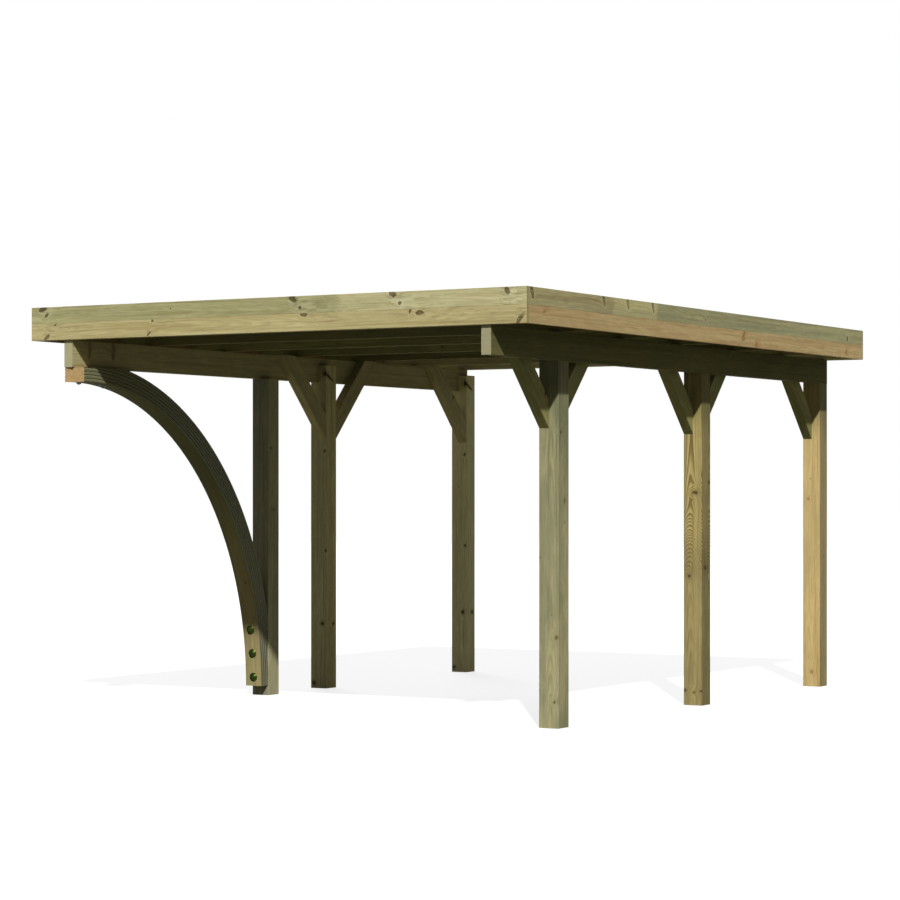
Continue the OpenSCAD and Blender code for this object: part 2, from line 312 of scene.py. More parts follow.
# Solid wood: rings round a wandering heart, branches that run out from it, fibres along x
def woodSurface(board, place, tone, seed, heart, knots=(), whorls=None, cracks=(), swell=None, paintedLightAndStains=(),
                ends=None, paintedFaceShade=(0, 0), shades=(), cloudGrain="cloud"):
    look = timberLook
    x, y, z = board.split(place)
    sway = x * look["swayPace"]
    across = y - heart[0] + (board.line(sway + seed * 3.7) - 0.5) * look["pithSway"]
    depth = z - heart[1] + (board.line(sway + (seed * 5.3 + 40)) - 0.5) * look["pithSway"]
    trunk = board.join(x, across, depth)
    nearest = nearestBranch(board, place, trunk, knots, whorls, seed)

    # years, counted outwards from the heart; swell is a stretch where they bulge
    lumps = board.noise(board.vector("MULTIPLY", trunk, look["lumpGrain"]), 1.0, 1.5)
    radius = board.length(board.join(0.0, across, depth))
    radius = radius + (lumps - 0.5) * look["lump"] + x * look["trunkTaper"]
    if swell:
        radius = radius + x.ramp(swell[0], swell[1]) * swell[2]
    if nearest is not None:
        flow = (nearest * nearest * -look["knotReach"]).math("EXPONENT") * look["knotFlow"]
        radius = radius - flow
        across = across + flow
    year = radius / look["ringWidth"] + board.line(radius * look["ringPace"] + seed) * look["ringSpread"]
    phase = year.math("FRACT")
    late = phase.ramp(0.22, 0.84) * phase.ramp(1.0, 0.88)
    if swell:
        late = late * (x.ramp(swell[0] - 0.10, swell[0]) * 0.6 + 0.4)

    grain = board.join(x, across, depth)

    def drawnOut(name, shift):
        fine, fineAcross, detail, roughness = look[name]
        stretched = board.vector("MULTIPLY", grain, (fine, fineAcross, fineAcross))
        return board.noise(board.vector("ADD", stretched, shift), 1.0, detail, roughness)

    fibre = drawnOut("fibre", (seed, 0, 0))
    streak = drawnOut("streak", (0, seed, 0))
    band = drawnOut("band", (seed * 2, 0, 0))
    cloud = drawnOut(cloudGrain, (seed, 0, 0))
    mottle = drawnOut("mottle", (0, 0, seed))
    vein = drawnOut("vein", (seed, 0, 0)).ramp(0.56, 0.70) * band.ramp(0.35, 0.55)
    colour = board.mix(tone["pale"], tone["late"], late * band.ramp(0.2, 0.6) * tone["rings"])
    colour = board.mix(colour, tone["late"], streak.ramp(0.44, 0.74) * tone.get("streaks", 0.8))
    colour = board.mix(colour, tone["smoke"], cloud.ramp(0.40, 0.64) * tone["patch"])
    colour = board.mix(colour, look["veinShade"], vein * look["veinShare"])
    byFibre, byBand, byMottle, least = look["uneven"]
    uneven = fibre * byFibre + band * byBand + mottle * byMottle + least
    colour = board.mix(colour, board.join(uneven, uneven, uneven), 1.0, "MULTIPLY")
    height = fibre * 0.5 + late * 0.25

    if nearest is not None:
        ragged = nearest + (fibre - 0.5) * 0.6 + (mottle - 0.5) * 1.1 + (cloud - 0.5) * 0.8
        colour = withKnots(board, colour, tone, ragged, mottle)
        height = height - ragged.ramp(1.3, 0.9) * 0.6
    for turn, density in cracks:
        split = crackMask(board, x, across, depth, turn, density, seed)
        colour = board.mix(colour, look["crackShade"], split * look["crackShare"])
        height = height - split * 2.0

    # what lies on the wood: stains, and on the arch painted shade and highlights; painted shade on one face
    # of a post; darker bands along the timber, on post heads painted shade; end grain
    for overlay, share in paintedLightAndStains:
        colour = board.mix(colour, overlay, share)
    for share, outward in zip(paintedFaceShade, (y, z * -1.0)):
        if share:
            side = outward.ramp(postHalf - 0.004, postHalf - 0.001)
            colour = board.mix(colour, look["paintedFaceShade"], side * share, "MULTIPLY")
    for first, second, shade in shades:
        reach = (x + (lumps - 0.5) * 0.1).ramp(first, second)
        colour = board.mix(colour, shade, reach, "MULTIPLY")
    if ends:
        cut = x.math("ABSOLUTE").ramp(ends - 0.003, ends - 0.001) * (cloud * 0.3 + 0.65)
        colour = board.mix(colour, tone.get("cut", look["cut"]), cut)

    bump = board.add("ShaderNodeBump", None, {"Strength": 0.8, "Distance": look["relief"], "Height": height})
    surface(board, Base_Color=colour, Roughness=fibre * 0.16 + look["roughness"], Normal=bump,
            Specular_IOR_Level=look["gloss"])


# The wood of a straight timber: its fibres run along x of its own frame
def straightWood(name, centre, along, across, **rest):
    material, board = freshMaterial(name)
    turn = Matrix((along, across, along.cross(across))).transposed().to_euler()
    local = board.add("ShaderNodeMapping", {"vector_type": "TEXTURE"},
                      {"Vector": board.add("ShaderNodeTexCoord", None, (), "Object"),
                       "Location": tuple(centre), "Rotation": tuple(turn)})
    woodSurface(board, local, **rest)
    return material


def addPiece(name, mesh):
    piece = bpy.data.objects.new(name, mesh)
    bpy.context.scene.collection.objects.link(piece)
    return piece


# A node's mesh as whole flat faces instead of loose triangles
def wholeFaces(node, weld, flat):
    shape = bmesh.new()
    shape.from_mesh(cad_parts[node].data)
    bmesh.ops.remove_doubles(shape, verts=shape.verts, dist=weld)
    bmesh.ops.dissolve_limit(shape, angle_limit=math.radians(flat), verts=shape.verts, edges=shape.edges)
    return shape


# A copy of the construction's solid with its edges eased
def easedCopy(node, edge):
    shape = wholeFaces(node, weld=1e-5, flat=1)
    sharp = [e for e in shape.edges if e.is_manifold and e.calc_face_angle(0) > math.radians(20)]
    bmesh.ops.bevel(shape, geom=sharp, offset=edge, segments=2, profile=0.7, affect="EDGES",
                    clamp_overlap=True)
    mesh = bpy.data.meshes.new(node + "_timber")
    shape.to_mesh(mesh)
    shape.free()
    return addPiece(node + "_timber", mesh)


def keep(piece, slot, *nodes):
    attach(piece, "root")
    if nodes:
        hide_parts(*nodes)
    return piece


axisX, axisY, axisZ = Vector((1, 0, 0)), Vector((0, 1, 0)), Vector((0, 0, 1))
seeds = random.Random(41)


def timber(node, slot, tone, along, across, heart, edge=0.001, **rest):
    low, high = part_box(node)
    ends = (high - low).dot(along) / 2 if max(along) == 1 else None
    material = straightWood(node + "_wood", (low + high) / 2, along, across, tone=timberTones[tone],
                            seed=round(seeds.uniform(1, 60), 2), heart=heart, ends=ends, **rest)
    piece = easedCopy(node, edge)
    piece.data.materials.append(material)
    return keep(piece, slot, node)


# Posts. A knot has its height from the middle and its place to the right and to the rear, the way its
# branch runs, and its radius. A shade begins at one height and is full at the other
paintedRoofShade = (0.66, 0.70, 0.70, 1)       # painted shade on the heads of posts, under the roof
postLook = {
    "right_front_post": {
        "tone": "moss", "heart": (0.012, 0.030),
        # the second band is painted shade at the head of this post, between its braces
        "shades": [(0.05, 0.78, paintedRoofShade), (0.72, 0.84, (0.78, 0.79, 0.80, 1))],
        "knots": [
            ((0.553, postHalf, -0.032), (0.4, 1, 0), 0.0065),
            ((0.178, postHalf, 0.012), (1.2, 1, 0.3), 0.006),
            ((-0.126, -0.056, -postHalf), (0.5, -0.5, -1), 0.006),
            ((-0.559, 0.049, -postHalf), (0.5, 0.5, -1), 0.007),
            ((-0.908, 0.036, -postHalf), (0.5, 0.3, -1), 0.0055),
            ((0.1, -postHalf, 0.01), (0.3, -1, 0), 0.008),
            ((-0.4, 0.02, postHalf), (0.3, 0, 1), 0.009)]},
    "right_middle_post": {
        "tone": "fir", "heart": (-0.012, 0.040), "swell": (-0.24, 0.16, 0.055), "paintedFaceShade": (0.75, 0),
        "shades": [(0.52, 0.76, paintedRoofShade), (0.05, -0.20, (0.80, 0.80, 0.86, 1))],
        "knots": [
            ((0.224, 0.013, -postHalf), (0.2, 1.1, -1), 0.0085),
            ((-0.226, postHalf, -0.012), (0.3, 1, 0), 0.0095),
            ((-0.276, -0.023, -postHalf), (0.4, -0.4, -1), 0.007),
            ((0.285, postHalf, 0.042), (0.3, 1, 0.2), 0.0085),
            ((-0.961, -0.049, -postHalf), (0.2, -0.6, -1), 0.006),
            ((-0.972, 0.008, -postHalf), (0.2, 0.2, -1), 0.005),
            ((-0.963, 0.055, -postHalf), (0.2, 0.7, -1), 0.006),
            ((-0.02, 0.01, postHalf), (0.3, 0, 1), 0.009)]},
    "right_rear_post": {
        "tone": "honey", "heart": (-0.020, 0.020), "paintedFaceShade": (1.0, 0),
        "shades": [(0.52, 0.76, paintedRoofShade)],
        "knots": [
            ((0.18, -0.023, -postHalf), (0.5, 0, -1), 0.0065),
            ((-0.2, postHalf, 0.006), (0.3, 1, 0), 0.006),
            ((-0.955, 0, -postHalf), (0.3, 0, -1), 0.009),
            ((0.35, -0.01, postHalf), (0.3, 0, 1), 0.008)]},
    "arch_post": {
        "tone": "slate", "heart": (0.018, -0.012), "paintedFaceShade": (0, 1.0),
        "knots": [
            ((0.559, postHalf, -0.029), (0.3, 1, -0.2), 0.006),
            ((0.171, postHalf, 0.001), (0.3, 1, 0), 0.008),
            ((-0.1, -0.01, postHalf), (0.3, 0, 1), 0.009)]},
    "left_middle_post": {
        "tone": "ochre", "heart": (-0.015, 0.022), "paintedFaceShade": (0, 0.7),
        "knots": [
            ((0.962, postHalf, -0.002), (4.2, -1, -7.6), 0.005),
            ((0.493, 0.048, -postHalf), (0.3, 0.4, -1), 0.0055),
            ((-0.155, 0.053, -postHalf), (0.3, 0.4, -1), 0.0055),
            ((-0.63, 0.031, -postHalf), (0.3, 0.3, -1), 0.0085),
            ((-0.633, postHalf, 0.023), (0.3, 1, 0.2), 0.0085),
            ((-1.017, -0.034, -postHalf), (0.2, -0.4, -1), 0.008),
            ((-0.15, -postHalf, 0), (0.3, -1, 0), 0.009)]},
    "left_rear_post": {
        "tone": "straw", "heart": (0.020, 0.015), "paintedFaceShade": (0, 0.02),
        "knots": [
            ((0.962, postHalf, -0.006), (4.2, -1, -7.6), 0.005),
            ((0.491, 0.046, -postHalf), (0.3, 0.4, -1), 0.0055),
            ((-0.155, 0.049, -postHalf), (0.3, 0.4, -1), 0.0055),
            ((-0.626, 0.031, -postHalf), (0.3, 0.3, -1), 0.0085),
            ((-0.627, postHalf, 0.02), (0.3, 1, 0.2), 0.0085),
            ((-1.014, -0.04, -postHalf), (0.2, -0.4, -1), 0.008),
            ((0.3, 0, postHalf), (0.3, 0, 1), 0.009)]},
}
for node, choice in postLook.items():
    cracks = ((seeds.uniform(-2.2, -1.0), 0.08), (seeds.uniform(1.2, 2.6), 0.12))
    timber(node, "post_timber", along=axisZ, across=axisX, cracks=cracks, **choice)
print("posts dressed")

# Beams, braces and rafters
beamWhorls = {"rings": 1, "every": 0.62, "fan": 1.3, "turn": math.pi / 2, "small": 0.004, "big": 0.009}
beamHalf = 0.029
beamLook = {
    "right_beam": {
        "tone": "dusk", "shades": [(-0.2, 1.3, (0.76, 0.78, 0.74, 1))],
        "knots": [
            ((0.757, 0.024, beamHalf), (-0.6, 2.6, 1), 0.0055),
            ((1.131, 0.027, beamHalf), (-0.6, 2.6, 1), 0.0055)]},
    "left_beam": {
        "tone": "loam",
        "knots": [
            ((-2.061, 0, beamHalf), (0.3, 4, 1), 0.0085),
            ((-1.844, 0, beamHalf), (0.3, 4, 1), 0.0095)]},
}
for node, choice in beamLook.items():
    timber(node, "beam_timber", along=axisY, across=axisZ, heart=(0.02, -0.05), cracks=((1.4, 0.1),),
           whorls=dict(beamWhorls, turn=-math.pi / 2), **choice)


# 1 where a brace leans to the rear, -1 to the front
def braceLean(node):
    return -1 if node.endswith(("front_brace", "rear_post_brace")) else 1


for node in nodesLike(end="_brace"):
    tone = "tan" if node.startswith("right") else "loam"
    timber(node, "brace_timber", tone, Vector((0, braceLean(node), 1)).normalized(), axisX,
           heart=(0.01, 0.06), whorls=beamWhorls)

rafterTones = {"rafter_3": "tan", "rafter_4": "tan", "rafter_6": "loam", "rafter_7": "straw"}
for node in nodesLike("rafter_"):
    timber(node, "rafter_timber", rafterTones.get(node, "bark"), axisX, axisZ,
           heart=(0.02, -0.06), whorls=beamWhorls)
timber("rear_spacer_blocks", "rafter_timber", "bark", axisZ, axisX, heart=(0.02, 0.05))
print("beams, braces and rafters dressed")

# Fascia boards. A knot has its place along the board, its height from the middle, its radius, and how
# far it leans along and up instead of straight out of the face
boardHalf = 0.0095
fasciaLook = {
    "front_upper_fascia": {
        "tone": "cream", "shades": [(0.50, 0.44, (0.77, 0.79, 0.73, 1))],
        "knots": [
            (-1.558, 0.034, 0.013, 1.4, 0.6), (-1.524, -0.002, 0.007, 1.6, 1.4),
            (0.174, 0.038, 0.0135, 1.3, -0.9), (0.226, -0.017, 0.008, 0.8, 0.6),
            (0.812, 0.037, 0.014, 1, -0.4), (0.861, -0.013, 0.0095, 0.6, 0.3),
            (1.511, 0.032, 0.014, 0.5, -0.8), (-0.64, 0.01, 0.0039, 0.3, 0)]},
    "front_lower_fascia": {
        "tone": "sand",
        "knots": [
            (-1.523, -0.034, 0.0085, 1.5, 1.2), (-1.455, 0.039, 0.0045, 1, 1.2),
            (-0.764, 0.04, 0.006, 1, 0), (-0.793, -0.034, 0.005, 1.8, 1.6),
            (0.245, 0.04, 0.0085, 1.8, 0), (0.978, 0.026, 0.01, 1.7, 0.2),
            (0.925, 0.034, 0.0055, 0.6, 1.8), (1.58, -0.034, 0.01, 1.4, 1.5)]},
    "right_upper_fascia": {
        "tone": "sage",
        "shades": [(-1.28, -1.31, (0.81, 0.79, 0.80, 1)), (-0.79, -0.76, (0.74, 0.77, 0.83, 1))],
        "knots": [
            (-2.203, 0.01, 0.013, -0.7, 1.9), (-1.405, 0.012, 0.0097, -1, 2.4),
            (-1.121, 0.01, 0.0094, -1, 2.7), (-0.815, 0.008, 0.0094, -0.8, 2.7),
            (-0.142, -0.012, 0.0059, 0.2, 0.4), (1.993, -0.025, 0.0104, 0.3, 0.8)]},
    "right_lower_fascia": {
        "tone": "rose",
        "knots": [
            (-2.08, 0.02, 0.0059, 1.6, 0.6), (0.382, 0.004, 0.011, 0.8, 1.4),
            (0.568, -0.03, 0.01, 1, 0.4), (1.974, -0.01, 0.011, 0.5, 0.2)]},
}
boardWhorls = {"rings": 1, "every": 0.42, "fan": 1.3, "turn": math.pi / 2, "small": 0.003, "big": 0.009}
otherBoards = ("sage", "cream", "rose", "sand")
for count, node in enumerate(nodesLike(end="_fascia")):
    choice = fasciaLook.get(node, {"tone": otherBoards[count % 4], "knots": ()})
    knots = [((run, rise, boardHalf), (leanAlong, leanUp, 1.0), radius)
             for run, rise, radius, leanAlong, leanUp in choice["knots"]]
    timber(node, "fascia_timber", choice["tone"], axisX if node.startswith(("front", "rear")) else axisY,
           axisZ, heart=(seeds.uniform(-0.03, 0.03), -0.09), edge=0.0007, knots=knots,
           whorls=None if knots else boardWhorls, shades=choice.get("shades", ()), cloudGrain="boardCloud")
print("fascia dressed")


# Geometry trees: named inputs, and the plain mesh that comes out
def geometryTree(name, inputs):
    tree = bpy.data.node_groups.new(name, "GeometryNodeTree")
    tree.interface.new_socket("Geometry", in_out="INPUT", socket_type="NodeSocketGeometry")
    tree.interface.new_socket("Geometry", in_out="OUTPUT", socket_type="NodeSocketGeometry")
    for label, value in inputs.items():
        kind = {float: "Float", int: "Int"}.get(type(value), "Material")
        tree.interface.new_socket(label, in_out="INPUT", socket_type="NodeSocket" + kind)
    board = Board(tree)
    entry = board.add("NodeGroupInput")
    return tree, board, {label: entry.out(label) for label in inputs}, entry


def grow(tree, base, values, name, sharp=40):
    holder = addPiece(name + "_base", base)
    modifier = holder.modifiers.new(name, "NODES")
    modifier.node_group = tree
    for item in tree.interface.items_tree:
        if item.item_type == "SOCKET" and item.in_out == "INPUT" and item.name in values:
            modifier[item.identifier] = values[item.name]
    bpy.context.view_layer.update()
    depsgraph = bpy.context.evaluated_depsgraph_get()
    mesh = bpy.data.meshes.new_from_object(holder.evaluated_get(depsgraph), preserve_all_data_layers=True,
                                           depsgraph=depsgraph)
    mesh.name = name
    holder.modifiers.remove(modifier)
    bpy.data.objects.remove(holder)
    mesh.shade_smooth()
    mesh.set_sharp_from_angle(angle=math.radians(sharp))
    return addPiece(name, mesh)


# Laminated arch, bent along a quarter of an ellipse
archLook = {
    "sizes": {
        "span": 1.7220, "rise": 1.8520, "thickness": 0.020, "laminations": 6, "width": 0.118,
        "rounding": 0.0050,
        "reach": 0.105,         # turn beyond the quarter at either end, before it is cut
        "steps": 96},
    "length": 2.85,             # of one lamination, for its grain
    "footThick": 0.073,         # left of the thickness where the foot meets its post
    "headThick": 0.083,         # and under the beam's front end
    "endSkew": 13.0, "endSetback": 0.005,
    "seamShade": paint(46, 46, 34),
    "footGreyAndShade": paint(84, 89, 78), "backGreyAndLight": paint(144, 149, 127),     # the planed sides are grey, with painted shade at the foot and the head and painted light along the back
    "headGreyAndShade": paint(124, 121, 90),
    "footToBack": (0.30, 0.70), "backToHead": (1.7, 2.5),       # where one turns into the next
    # painted shade for the hollow side; painted highlight for the ridges
    "hollowShade": paint(88, 90, 60), "paintedRidgeHighlight": paint(196, 202, 174),
    "hollow": {"pale": paint(152, 141, 99), "late": paint(122, 110, 72), "smoke": paint(140, 122, 84),
               "patch": 0.5, "rings": 0.35},
    "cutEnd": {"pale": paint(176, 148, 104), "late": paint(158, 126, 82), "smoke": paint(152, 126, 86),
               "patch": 0.4, "rings": 0.3},
}


def archTree(material):
    inputs = dict(archLook["sizes"], finish=material)
    tree, board, wire, _ = geometryTree("bent laminations", inputs)
    spine = board.add("GeometryNodeResampleCurve", None,
                      {"Curve": board.add("GeometryNodeCurvePrimitiveLine", None, {"End": (1, 0, 0)}),
                       "Count": wire["steps"]})
    outline = board.add("GeometryNodeCurvePrimitiveQuadrilateral", None,
                        {"Width": wire["width"], "Height": wire["thickness"]})
    outline = board.add("GeometryNodeFilletCurve", {"mode": "POLY"},
                        {"Curve": outline, "Count": 4, "Radius": wire["rounding"]})
    bar = board.add("GeometryNodeCurveToMesh", None,
                    {"Curve": spine, "Profile Curve": outline, "Fill Caps": True})
    stack = board.add("GeometryNodeMeshLine", None,
                      {"Count": wire["laminations"], "Start Location": (0, 0, 0),
                       "Offset": board.join(0.0, 0.0, wire["thickness"])})
    bars = board.add("GeometryNodeRealizeInstances", None,
                     (board.add("GeometryNodeInstanceOnPoints", None, {"Points": stack, "Instance": bar}),))
    along, side, out = board.split(board.add("GeometryNodeInputPosition"))
    out = out + wire["thickness"] * 0.5
    # the straight stack bends: each point moves out along the ellipse's normal
    turn = along * (wire["reach"] * 2.0 + math.pi / 2) - wire["reach"]
    ahead = turn.math("COSINE")
    up = turn.math("SINE")
    normalY = wire["rise"] * ahead
    normalZ = wire["span"] * up
    size = (normalY * normalY + normalZ * normalZ).math("SQRT")
    bent = board.join(side, wire["span"] * ahead + out * normalY / size,
                      wire["rise"] * up + out * normalZ / size)
    named = board.add("GeometryNodeStoreNamedAttribute", {"data_type": "FLOAT_VECTOR", "domain": "POINT"},
                      {"Geometry": bars, "Name": "grain",
                       "Value": board.join(along * archLook["length"], side, out)})
    moved = board.add("GeometryNodeSetPosition", None, {"Geometry": named, "Position": bent})
    finished = board.add("GeometryNodeSetMaterial", None, {"Geometry": moved, "Material": wire["finish"]})
    board.add("NodeGroupOutput", None, (finished,))
    return tree, inputs


# Each lamination has its own wood, and dark seams towards the next, deepened with painted shade in the
# grooves. The planed sides are grey, with painted shade at the foot and head, painted light along the back
# and a painted highlight beside the seams; painted shade darkens the hollow side towards the head
def archWood(name, tone, seam, sideGreyAndLight, hollowShadeShare):
    material, board = freshMaterial(name)
    grain = board.add("ShaderNodeAttribute", {"attribute_name": "grain"}, (), "Vector")
    along, side, out = board.split(grain)
    thickness = archLook["sizes"]["thickness"]
    halfWidth = archLook["sizes"]["width"] / 2
    total = thickness * archLook["sizes"]["laminations"]
    layer = (out / thickness).math("FLOOR")
    inside = out - (layer + 0.5) * thickness
    # the dark seams, with painted shade in the grooves between laminations
    groove = inside.math("ABSOLUTE").ramp(thickness * 0.36, thickness * 0.49)
    groove = groove * out.ramp(0.003, 0.010) * out.ramp(total - 0.003, total - 0.010) * seam
    planed = side.math("ABSOLUTE").ramp(halfWidth - 0.0012, halfWidth - 0.0002) * sideGreyAndLight
    # grey of the planed sides, with painted shade at the foot and head and painted light along the back
    greysAndLight = board.mix(archLook["footGreyAndShade"], archLook["backGreyAndLight"], along.ramp(*archLook["footToBack"]))
    greysAndLight = board.mix(greysAndLight, archLook["headGreyAndShade"], along.ramp(*archLook["backToHead"]))
    # painted highlight on the rounded ridges beside the seams
    ridge = inside.math("ABSOLUTE") / thickness
    ridge = ridge.ramp(0.26, 0.34) * ridge.ramp(0.41, 0.36) * planed
    # painted shade on the hollow side, growing towards the head
    shadow = along.ramp(0.38, 0.55) * 0.2 + along.ramp(0.65, 1.55) * 0.65
    paintedLightAndStains = ((archLook["hollowShade"], shadow * hollowShadeShare), (greysAndLight, planed),
              (archLook["paintedRidgeHighlight"], ridge * 0.35), (archLook["seamShade"], groove))
    woodSurface(board, board.join(along + layer * 3.1, side, inside), tone, seed=17.0, heart=(0.01, -0.07),
                whorls=dict(beamWhorls, every=0.7, small=0.003, big=0.007), paintedLightAndStains=paintedLightAndStains)
    return material


def buildArch():
    low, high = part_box("laminated_arch")
    beamLow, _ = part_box("left_beam")
    postLow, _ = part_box("arch_post")
    tree, inputs = archTree(archWood("bent_arch_wood", archLook["hollow"], seam=0.8, sideGreyAndLight=0.88, hollowShadeShare=1.0))
    piece = grow(tree, bpy.data.meshes.new("seed"), inputs, "bent_arch")
    piece.data.materials.append(archWood("cut_arch_wood", archLook["cutEnd"], seam=0.15, sideGreyAndLight=0.0, hollowShadeShare=0.0))
    shape = bmesh.new()
    shape.from_mesh(piece.data)
    bmesh.ops.translate(shape, verts=shape.verts, vec=(
        (low.x + high.x) / 2, postLow.y - archLook["footThick"] - archLook["sizes"]["span"],
        beamLow.z - archLook["headThick"] - archLook["sizes"]["rise"]))
    skew = math.radians(archLook["endSkew"])
    planes = [      # the beam's underside, the post's face, the foot, and the skewed and blunted front end
        ((0, 0, beamLow.z), (0, 0, 1)),
        ((0, postLow.y, 0), (0, 1, 0)),
        ((0, 0, low.z), (0, 0, -1)),
        ((low.x, beamLow.y + archLook["endSetback"], 0), (math.sin(skew), -math.cos(skew), 0)),
        ((0, beamLow.y, 0), (0, -1, 0)),
    ]
    cutFinish = piece.data.materials.find("cut_arch_wood")
    for point, normal in planes:
        bmesh.ops.bisect_plane(shape, geom=shape.verts[:] + shape.edges[:] + shape.faces[:], dist=1e-6,
                               plane_co=point, plane_no=normal, clear_outer=True)
        filled = bmesh.ops.holes_fill(shape, edges=[e for e in shape.edges if e.is_boundary], sides=0)
        for face in filled["faces"]:
            face.material_index = cutFinish
    bmesh.ops.recalc_face_normals(shape, faces=shape.faces)
    shape.to_mesh(piece.data)
    shape.free()
    piece.data.shade_smooth()
    piece.data.set_sharp_from_angle(angle=math.radians(40))
    keep(piece, "arch_timber", "laminated_arch")


buildArch()
print("arch bent")


# Fasteners: a flat outline is drawn up in steps, each one a rise and a change of width
def drawnForm(board, sides, radius, steps):
    outline = board.add("GeometryNodeMeshCircle", {"fill_type": "NGON"},
                        {"Vertices": sides, "Radius": radius})
    form, top = outline, None
    for rise, width in steps:
        form = board.add("GeometryNodeExtrudeMesh", None,
                         {"Mesh": form, "Selection": top, "Offset Scale": rise, "Individual": False})
        top = form.out("Top")
        form = board.add("GeometryNodeScaleElements", None,
                         {"Geometry": form, "Selection": top, "Scale": width})
    base = board.add("GeometryNodeFlipFaces", None, (outline,))
    closed = board.add("GeometryNodeJoinGeometry", None, ([form, base],))
    return board.add("GeometryNodeMergeByDistance", None, {"Geometry": closed, "Distance": 1e-6})


def lifted(board, form, height):
    return board.add("GeometryNodeTransform", None,
                     {"Geometry": form, "Translation": board.join(0.0, 0.0, height)})


# Domed cap: a low rim, then a dome that falls off evenly from its middle
def capForm(board, wire):
    levels = 8
    steps = [(wire["rim"], 1.0)]
    for level in range(levels):
        first, second = (1 - 0.96 * n / levels for n in (level, level + 1))
        steps.append((wire["dome"] * (first * first - second * second), second / first))
    return drawnForm(board, wire["sides"], wire["width"] * 0.5, steps)


# Washer, six-sided nut and the threaded end of the bolt
def nutForm(board, wire):
    washer = drawnForm(board, wire["sides"], wire["width"] * 0.5,
                       [(wire["washer"] * 0.75, 1.0), (wire["washer"] * 0.25, 0.96)])
    nut = drawnForm(board, 6, wire["nutWidth"] * 0.5,
                    [(wire["nutHeight"] * 0.88, 1.0), (wire["nutHeight"] * 0.12, 0.90)])
    turns = [(wire["pitch"] * 0.5, width) for width in (0.88, 1 / 0.88)] * 2
    bolt = drawnForm(board, wire["sides"], wire["bolt"] * 0.5,
                     [(wire["nutHeight"], 1.0)] + turns + [(0.0004, 0.85)])
    return board.add("GeometryNodeJoinGeometry", None, (
        [washer, lifted(board, nut, wire["washer"]), lifted(board, bolt, wire["washer"])],))


# Countersunk head with its drive hole
def screwForm(board, wire):
    return drawnForm(board, wire["sides"], wire["width"] * 0.5,
                     [(wire["proud"], 0.93), (0.0, 0.46), (wire["proud"] * -1.5, 0.7)])


# Sealing washer, flange and six-sided head
def roofScrewForm(board, wire):
    washer = drawnForm(board, wire["sides"], wire["width"] * 0.5,
                       [(wire["washer"], 0.94), (wire["washer"] * 0.6, 0.55)])
    head = drawnForm(board, 6, wire["head"] * 0.5,
                     [(wire["headHeight"] * 0.8, 1.0), (wire["headHeight"] * 0.2, 0.82)])
    return board.add("GeometryNodeJoinGeometry", None, ([washer, lifted(board, head, wire["washer"])],))


fastenerLook = {
    "foot_caps": {
        "form": capForm, "slot": "bolt_caps",
        "sizes": {"sides": 40, "width": 0.056, "rim": 0.0015, "dome": 0.0155},
        "finish": {"name": "green_cap_enamel", "colour": paint(42, 54, 20), "roughness": 0.27,
                   "Metallic": 0.9, "Specular_Tint": paint(70, 90, 40)}},
    "head_nuts": {
        "form": nutForm, "slot": "zinc_bolts",
        "sizes": {"sides": 28, "width": 0.036, "washer": 0.003, "nutWidth": 0.027, "nutHeight": 0.010,
                  "bolt": 0.012, "pitch": 0.0015},
        "finish": {"name": "zinc_plating", "colour": paint(84, 96, 90), "roughness": 0.36,
                   "Metallic": 0.85}},
    "board_screws": {
        "form": screwForm, "slot": "zinc_bolts",
        "sizes": {"sides": 12, "width": 0.0065, "proud": 0.0004},
        "finish": {"name": "olive_screw_coating", "colour": paint(150, 143, 104), "roughness": 0.45,
                   "Specular_IOR_Level": 0.2}},
    "roof_screws": {
        "form": roofScrewForm, "slot": "zinc_bolts",
        "sizes": {"sides": 14, "width": 0.019, "washer": 0.0018, "head": 0.0092, "headHeight": 0.0055},
        "finish": {"name": "painted_screw_heads", "colour": paint(74, 76, 75), "roughness": 0.35,
                   "Specular_IOR_Level": 0.3}},
}
metalDust = {"shade": paint(128, 128, 112), "fine": 90.0, "share": 0.10, "dulling": 0.15}


def metal(name, colour, roughness, **rest):
    material, board = freshMaterial(name)
    place = board.add("ShaderNodeTexCoord", None, (), "Object")
    dust = board.noise(place, metalDust["fine"], 3.0)
    tone = board.mix(colour, metalDust["shade"], dust.ramp(0.55, 0.8) * metalDust["share"])
    surface(board, Base_Color=tone, Roughness=dust * metalDust["dulling"] + roughness, **rest)
    return material


